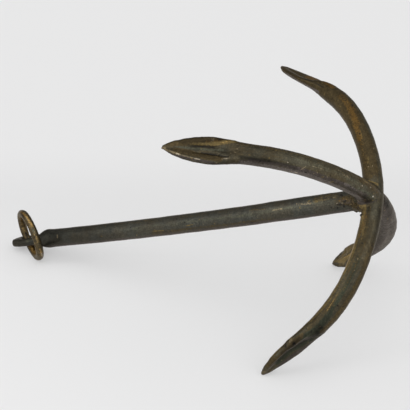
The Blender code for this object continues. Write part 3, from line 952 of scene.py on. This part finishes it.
for piece in (shank, bow, near_arm, far_arm, weld):
    uneven(piece, HAMMER_SIZE, HAMMER_DEPTH)
    uneven(piece, PIT_SIZE, PIT_DEPTH)
uneven(ring, RING_HAMMER_SIZE, RING_HAMMER_DEPTH)
uneven(ring, PIT_SIZE, PIT_DEPTH)
for piece in (shank, weld):
    raise_crust(piece)


# ---- coats -------------------------------------------------------------------------------------
def grain_place(along, around, radius):
    """Where the streaks of a bar are read: its skin, with the bend taken out."""
    return np.stack([along, radius * np.cos(around), radius * np.sin(around)], axis=1)


def coat_bar(obj, bar, strokes, palm_strokes=()):
    co = places(obj)
    coat = Coat(len(co))
    # undersides take umber as painted floor reflection
    coat.undersides(normals(obj), UNDERSIDE_BOUNCE)
    coat.strokes(bar, strokes, beside_round)
    coat.strokes(bar, palm_strokes, beside_palm)
    coat.strokes(bar, scattered(rng, FLECKS, reach_of(bar)), beside_round)
    coat.crown_strokes(co)
    coat.write_to(obj)
    grain = grain_place(bar.along, bar.around, BAR_RADIUS)
    write(obj, "grain", grain)
    return co, coat, grain


def coat_ring(obj, loop):
    coat = Coat(len(obj.data.vertices))
    coat.strokes(loop, RING_STROKES, beside_round)
    coat.strokes(loop, scattered(rng, FLECKS, reach_of(loop)), beside_round)
    coat.write_to(obj)
    grain = grain_place(np.zeros_like(loop.along), loop.around, WIRE_RADIUS)
    grain[:, 1] += RING_STREAK_SPREAD * np.cos(loop.turn)
    grain[:, 2] += RING_STREAK_SPREAD * np.sin(loop.turn)
    write(obj, "grain", grain)


def coat_crown(obj, coats):
    """The filler takes its paints and its painted light and shade from the bars' nearest points."""
    co = places(obj)
    in_reach = [np.linalg.norm(bar_co - CROWN, axis=1) < SOURCE_REACH for bar_co, _, _ in coats]

    def gathered(tables):
        return np.concatenate([table[near] for table, near in zip(tables, in_reach)])

    sources = gathered([bar_co for bar_co, _, _ in coats])
    tree = KDTree(len(sources))
    for index, spot in enumerate(sources):
        tree.insert(spot, index)
    tree.balance()
    nearest = np.array([tree.find(spot)[1] for spot in co])
    coat = Coat(len(co))
    for name in PAINTS:
        coat.paints[name] = gathered([bar_coat.paints[name] for _, bar_coat, _ in coats])[nearest]
    coat.tone = gathered([bar_coat.tone for _, bar_coat, _ in coats])[nearest]
    coat.write_to(obj)
    write(obj, "grain", gathered([grain for _, _, grain in coats])[nearest])


coats = [
    coat_bar(shank, shank_bar, (*SHANK_STROKES, *scattered(rng, CRUST_GRAINS, CRUST_STRETCH))),
    coat_bar(bow, bow_bar, BOW_STROKES, BOW_PALM_STROKES),
    coat_bar(near_arm, near_bar, NEAR_STROKES, NEAR_PALM_STROKES),
    coat_bar(far_arm, far_bar, FAR_STROKES, FAR_PALM_STROKES),
]
coat_ring(ring, ring_loop)
coat_crown(weld, coats)


# ---- materials ---------------------------------------------------------------------------------
class Recipe:
    """Shading put together node by node, for a material or the light tent."""

    def __init__(self, owner, shader, coordinates="Object"):
        owner.use_nodes = True
        self.owner = owner
        self.nodes = owner.node_tree.nodes
        self.links = owner.node_tree.links
        self.shader = self.nodes[shader]
        self.place = self.nodes.new("ShaderNodeTexCoord").outputs[coordinates]

    def join(self, socket, value):
        if isinstance(value, bpy.types.NodeSocket):
            self.links.new(value, socket)
        else:
            socket.default_value = value

    def attribute(self, name, output="Fac"):
        node = self.nodes.new("ShaderNodeAttribute")
        node.attribute_name = name
        return node.outputs[output]

    def towards(self, direction):
        """How far a place lies in a direction."""
        node = self.nodes.new("ShaderNodeVectorMath")
        node.operation = "DOT_PRODUCT"
        self.join(node.inputs[0], self.place)
        node.inputs[1].default_value = direction
        return node.outputs["Value"]

    def noise(self, scale, detail, rough, place=None, stretch=None):
        place = place or self.place
        if stretch:
            mapping = self.nodes.new("ShaderNodeMapping")
            self.join(mapping.inputs["Vector"], place)
            mapping.inputs["Scale"].default_value = stretch
            place = mapping.outputs["Vector"]
        node = self.nodes.new("ShaderNodeTexNoise")
        self.join(node.inputs["Vector"], place)
        node.inputs["Scale"].default_value = scale
        node.inputs["Detail"].default_value = detail
        node.inputs["Roughness"].default_value = rough
        return node.outputs["Fac"]

    def math(self, operation, first, second=0.0, third=0.0):
        node = self.nodes.new("ShaderNodeMath")
        node.operation = operation
        for socket, value in zip(node.inputs, (first, second, third)):
            self.join(socket, value)
        return node.outputs[0]

    def band(self, value, low, high, start=0.0, end=1.0):
        """Smooth step of a value from start at low to end at high."""
        node = self.nodes.new("ShaderNodeMapRange")
        node.interpolation_type = "SMOOTHSTEP"
        for name, given in (("Value", value), ("From Min", low), ("From Max", high),
                            ("To Min", start), ("To Max", end)):
            self.join(node.inputs[name], given)
        return node.outputs["Result"]

    def mix(self, factor, first, second):
        node = self.nodes.new("ShaderNodeMix")
        node.data_type = "RGBA"
        colours = [socket for socket in node.inputs if socket.type == "RGBA"]
        self.join(node.inputs["Factor"], factor)
        self.join(colours[0], first)
        self.join(colours[1], second)
        return [socket for socket in node.outputs if socket.type == "RGBA"][0]

    def lighten(self, colour, amount):
        """The colour times an amount, which may be below 1."""
        node = self.nodes.new("ShaderNodeVectorMath")
        node.operation = "SCALE"
        self.join(node.inputs[0], colour)
        self.join(node.inputs["Scale"], amount)
        return node.outputs["Vector"]

    def bump(self, height, strength, distance, under=None):
        node = self.nodes.new("ShaderNodeBump")
        node.inputs["Strength"].default_value = strength
        node.inputs["Distance"].default_value = distance
        self.join(node.inputs["Height"], height)
        if under:
            self.join(node.inputs["Normal"], under)
        return node.outputs["Normal"]

    def finish(self, colour, roughness, normal, metallic, specular):
        self.join(self.shader.inputs["Base Color"], colour)
        self.join(self.shader.inputs["Roughness"], roughness)
        self.join(self.shader.inputs["Normal"], normal)
        self.shader.inputs["Metallic"].default_value = metallic
        self.shader.inputs["Specular IOR Level"].default_value = specular
        self.shader.inputs["Specular Tint"].default_value = RIM_TINT
        return self.owner


def principled(name):
    return Recipe(bpy.data.materials.new(name), "Principled BSDF")


def painted(r, colour, streaks, speckle):
    """The paints over a ground colour, painted shade and painted floor reflection among them, with
    edges broken up by the metal's grain.
    """
    edge = r.math("MULTIPLY_ADD", streaks, STREAK_RAGGED, -STREAK_RAGGED / 2)
    edge = r.math("ADD", edge, r.math("MULTIPLY_ADD", speckle, SPECKLE_RAGGED, -SPECKLE_RAGGED / 2))
    for name, shade in PAINTS.items():
        mask = r.attribute(name)
        amount = r.band(r.math("ADD", mask, edge), *PAINT_EDGE)
        amount = r.math("MULTIPLY", amount, r.band(mask, *PAINT_START))
        colour = r.mix(amount, colour, shade)
    return colour


def aged_iron(name, ground, clouded, veil, flecks, roughness, pitting, mottling):
    """Dark waxed iron: clouded, streaked, flecked with ochre and finely pitted."""
    r = principled(name)
    clouds, mottle, speckle, grit = [r.noise(*kind) for kind in (CLOUDS, MOTTLE, SPECKLE, GRIT)]
    streaks = r.noise(*STREAKS, r.attribute("grain", "Vector"), STREAK_STRETCH)
    colour = r.mix(r.band(clouds, *CLOUD_EDGE), ground, clouded)
    colour = r.mix(r.band(streaks, *VEIL_EDGE), colour, veil)
    colour = painted(r, colour, streaks, speckle)
    colour = r.mix(r.band(speckle, *FLECK_EDGE, 0.0, flecks), colour, PAINTS["ochre"])
    for pattern, span, dark, light in ((mottle, MOTTLE_SPAN, MOTTLE_DARK, MOTTLE_LIGHT),
                                       (speckle, SPECKLE_SPAN, SPECKLE_DARK, SPECKLE_LIGHT)):
        shade = r.band(pattern, *span, 1.0 - dark * mottling, 1.0 + light * mottling)
        colour = r.lighten(colour, shade)
    colour = r.lighten(colour, r.band(grit, *GRIT_SPAN))
    # painted light and shade, with some uneven tone of the iron, scale the colour
    colour = r.lighten(colour, r.attribute("tone"))
    rough = r.band(mottle, *MOTTLE_SPAN, *roughness)
    normal = None
    for pattern, (strength, height) in ((mottle, MOTTLE_BUMP), (speckle, SPECKLE_BUMP),
                                        (grit, GRIT_BUMP)):
        normal = r.bump(pattern, strength * pitting, height, normal)
    return r.finish(colour, rough, normal, METALLIC, SPECULAR)


irons = {name: aged_iron(name, **values) for name, values in IRONS.items()}
for piece, iron in ((shank, "waxed_shank_iron"), (bow, "browned_arm_iron"),
                    (near_arm, "browned_arm_iron"), (far_arm, "browned_arm_iron"),
                    (ring, "rubbed_ring_iron"), (weld, "burnt_weld_iron")):
    piece.data.materials.append(irons[iron])


# ---- camera, floor, light ----------------------------------------------------------------------
def add_camera():
    bpy.ops.object.camera_add(location=EYE)
    camera = bpy.context.active_object
    facing = LOOK.to_track_quat("-Z", "Y").to_matrix().to_4x4()
    camera.matrix_world = Matrix.Translation(EYE) @ facing @ Matrix.Rotation(ROLL, 4, "Z")
    camera.data.lens = LENS
    camera.data.sensor_width = SENSOR
    camera.data.clip_start = NEAREST_SEEN
    camera.data.clip_end = FARTHEST_SEEN
    bpy.context.scene.camera = camera


def add_floor():
    """A pale light table, brighter in front, with a faint darker band behind the anchor."""
    bpy.ops.mesh.primitive_plane_add(size=FLOOR_SIZE)
    floor = bpy.context.active_object
    floor.name = "studio_floor"
    r = principled("pale_floor")
    across = r.towards(BAND_FRONT)
    behind = r.band(across, BAND_MIDDLE, BAND_MIDDLE - BAND_WIDTH, 1.0, 0.0)
    before = r.band(across, BAND_MIDDLE, BAND_MIDDLE + BAND_WIDTH, 1.0, 0.0)
    shade = r.math("MULTIPLY", r.math("MINIMUM", behind, before), BAND_SHADE)
    glow = r.math("SUBTRACT", r.band(r.towards(TABLE_FRONT), *TABLE_GLOW), shade)
    r.shader.inputs["Base Color"].default_value = FLOOR_PAPER
    r.shader.inputs["Roughness"].default_value = FLOOR_ROUGHNESS
    r.shader.inputs["Emission Color"].default_value = WHITE
    r.join(r.shader.inputs["Emission Strength"], glow)
    floor.data.materials.append(r.owner)


def add_softbox():
    bpy.ops.object.light_add(type="AREA", location=SOFTBOX_PLACE)
    light = bpy.context.active_object
    light.name = "left_softbox"
    light.data.shape = "DISK"
    light.data.size = SOFTBOX_SIZE
    light.data.energy = SOFTBOX_POWER
    light.rotation_mode = "QUATERNION"
    facing = Vector(SOFTBOX_AIM) - Vector(SOFTBOX_PLACE)
    light.rotation_quaternion = facing.to_track_quat("-Z", "Y")


def add_tent():
    """A soft tent of light all round, brightest on one side."""
    world = bpy.data.worlds.new("studio")
    bpy.context.scene.world = world
    r = Recipe(world, "Background", "Generated")
    glow = r.band(r.towards(Vector(TENT_FRONT).normalized()), *TENT_GLOW)
    r.join(r.shader.inputs["Strength"], glow)
    r.shader.inputs["Color"].default_value = WHITE


add_camera()
add_floor()
add_softbox()
add_tent()
bpy.context.scene.view_settings.view_transform = "Standard"

for piece in (shank, bow, near_arm, far_arm, weld):
    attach(piece, "anchor")
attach(ring, "ring")
for piece, node, slot in ((shank, "shank", "dark_iron"), (bow, "long_bow", "dark_iron"),
                          (near_arm, "near_half_arm", "dark_iron"),
                          (far_arm, "far_half_arm", "dark_iron"),
                          (ring, "ring", "rubbed_iron"), (weld, "crown_weld", "weld_crust")):
    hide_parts(node)
